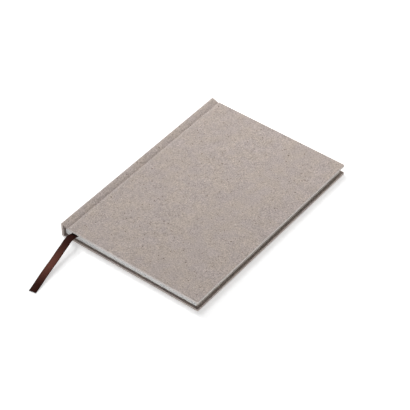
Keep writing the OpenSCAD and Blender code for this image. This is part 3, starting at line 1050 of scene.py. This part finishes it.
piece = endpaper_piece("back_flyleaf_sheet", "back_flyleaf", back_line, HALF_LEAF)
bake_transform(piece)
print("four endpaper halves ready")

# %% [markdown]
# Boards, gauze, kraft lining and sewing have the right shape in the CAD model already, so they only
# take their finishes.

# %% Finishes of the carried-over parts
CAD_FINISHES = {
    "front_board": grey_board,
    "back_board": grey_board,
    "spine_board": grey_board,
    "spine_lining": kraft_strip,
    "mull": gauze,
    "sewing_thread": linen_thread,
}
for node, material in CAD_FINISHES.items():
    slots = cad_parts[node].data.materials
    slots.clear()
    slots.append(material)
print("finishes on", len(CAD_FINISHES), "CAD nodes")

# %% [markdown]
# The photograph has a pure white ground, light from the spine's side and soft shadows at the tail and
# the fore edge. A large lamp and a smaller one stand on the spine's side, a small lamp is near the head,
# and two long low cards send light into the page edges. The floor is a pale sheet that adds white for
# the camera alone, more of it far away, so it clears to white and still keeps the shadow near the
# notebook. The sky is white for the camera too, and weak as a light.

# %% Floor, sky and lamps
FLOOR_HALF = 6.0
FLOOR_Z = -0.12 * MM
FLOOR_COLOUR = (240, 240, 240)
FLOOR_SHOWN = (237, 237, 237)
FLOOR_GLOW = 0.48
GLOW_FROM = 0.3
GLOW_TO = 0.9
SKY_LIGHT = 0.08
KEY_PLACE = Vector((-0.8, 0.2, 1.8))
KEY_SIZE = 0.9
KEY_POWER = 14.2
LOW_PLACE = Vector((-1.26, 0.35, 1.25))
LOW_SIZE = 0.3
LOW_POWER = 12.0
HEAD_PLACE = Vector((0.0, 0.3, 0.36))
HEAD_SIZE = 0.34
HEAD_POWER = 0.66
CARD_LONG = 1.6
CARD_HIGH = 0.14
TAIL_CARD_PLACE = Vector((0.0, -0.95, 0.07))
TAIL_CARD_POWER = 4.1
FORE_CARD_PLACE = Vector((0.95, -0.1, 0.07))
FORE_CARD_POWER = 3.9
WHITE = (1.0, 1.0, 1.0, 1.0)


def seen_directly(tree):
    """1 for what the camera sees, straight, mirrored or through glass, and 0 for lighting."""
    rays = add_node(tree, "ShaderNodeLightPath").outputs
    mirrored = calc(tree, "MAXIMUM", rays["Is Glossy Ray"], rays["Is Transmission Ray"])
    return calc(tree, "MAXIMUM", rays["Is Camera Ray"], mirrored)


floor_mesh = bmesh.new()
floor_rows = []
for along in (-1.0, 0.0, 1.0):
    row = []
    for side in (-1.0, 0.0, 1.0):
        row.append(Vector((side * FLOOR_HALF, along * FLOOR_HALF, FLOOR_Z)))
    floor_rows.append(row)
add_skin(floor_mesh, floor_rows, flip=True)
floor_data = bpy.data.meshes.new("floor")
floor_mesh.to_mesh(floor_data)
floor_mesh.free()
floor = bpy.data.objects.new("floor", floor_data)
bpy.context.scene.collection.objects.link(floor)
floor_paint, tree, shader = new_material("floor_white", 0.9, 0.0)
shown = seen_directly(tree)
floor_look = tint(tree, shown, screen_colour(*FLOOR_COLOUR), screen_colour(*FLOOR_SHOWN))
tree.links.new(floor_look, shader.inputs["Base Color"])
shader.inputs["Emission Color"].default_value = WHITE
spot = add_node(tree, "ShaderNodeTexCoord").outputs["Object"]
away = add_node(tree, "ShaderNodeVectorMath", {0: spot}, operation="LENGTH").outputs["Value"]
glow = fade(tree, away, GLOW_FROM, GLOW_TO, FLOOR_GLOW, 1.0)
tree.links.new(calc(tree, "MULTIPLY", shown, glow), shader.inputs["Emission Strength"])
floor_data.materials.append(floor_paint)

world = bpy.data.worlds.new("white_room")
bpy.context.scene.world = world
world.use_nodes = True
tree = world.node_tree
tree.nodes.clear()
lighting = add_node(tree, "ShaderNodeBackground", {"Color": WHITE, "Strength": SKY_LIGHT})
shown_sky = add_node(tree, "ShaderNodeBackground", {"Color": WHITE, "Strength": 1.0})
choices = {0: seen_directly(tree), 1: lighting.outputs[0], 2: shown_sky.outputs[0]}
choice = add_node(tree, "ShaderNodeMixShader", choices)
add_node(tree, "ShaderNodeOutputWorld", {"Surface": choice.outputs[0]})


def soft_lamp(name, place, power, size, height=None):
    """A soft lamp that looks at the notebook's middle: round, or a long card if it has a height."""
    data = bpy.data.lights.new(name, "AREA")
    data.shape = "RECTANGLE" if height else "DISK"
    data.size = size
    data.size_y = height or size
    data.energy = power
    made = bpy.data.objects.new(name, data)
    bpy.context.scene.collection.objects.link(made)
    made.location = place
    made.rotation_euler = place.to_track_quat("Z", "Y").to_euler()
    made.visible_camera = False
    print(name, "at", [round(part, 2) for part in place])


soft_lamp("spine_side_lamp", KEY_PLACE, KEY_POWER, KEY_SIZE)
soft_lamp("low_lamp", LOW_PLACE, LOW_POWER, LOW_SIZE)
soft_lamp("head_lamp", HEAD_PLACE, HEAD_POWER, HEAD_SIZE)
soft_lamp("tail_card", TAIL_CARD_PLACE, TAIL_CARD_POWER, CARD_LONG, CARD_HIGH)
soft_lamp("fore_card", FORE_CARD_PLACE, FORE_CARD_POWER, CARD_LONG, CARD_HIGH)
bpy.context.scene.view_settings.view_transform = "Standard"
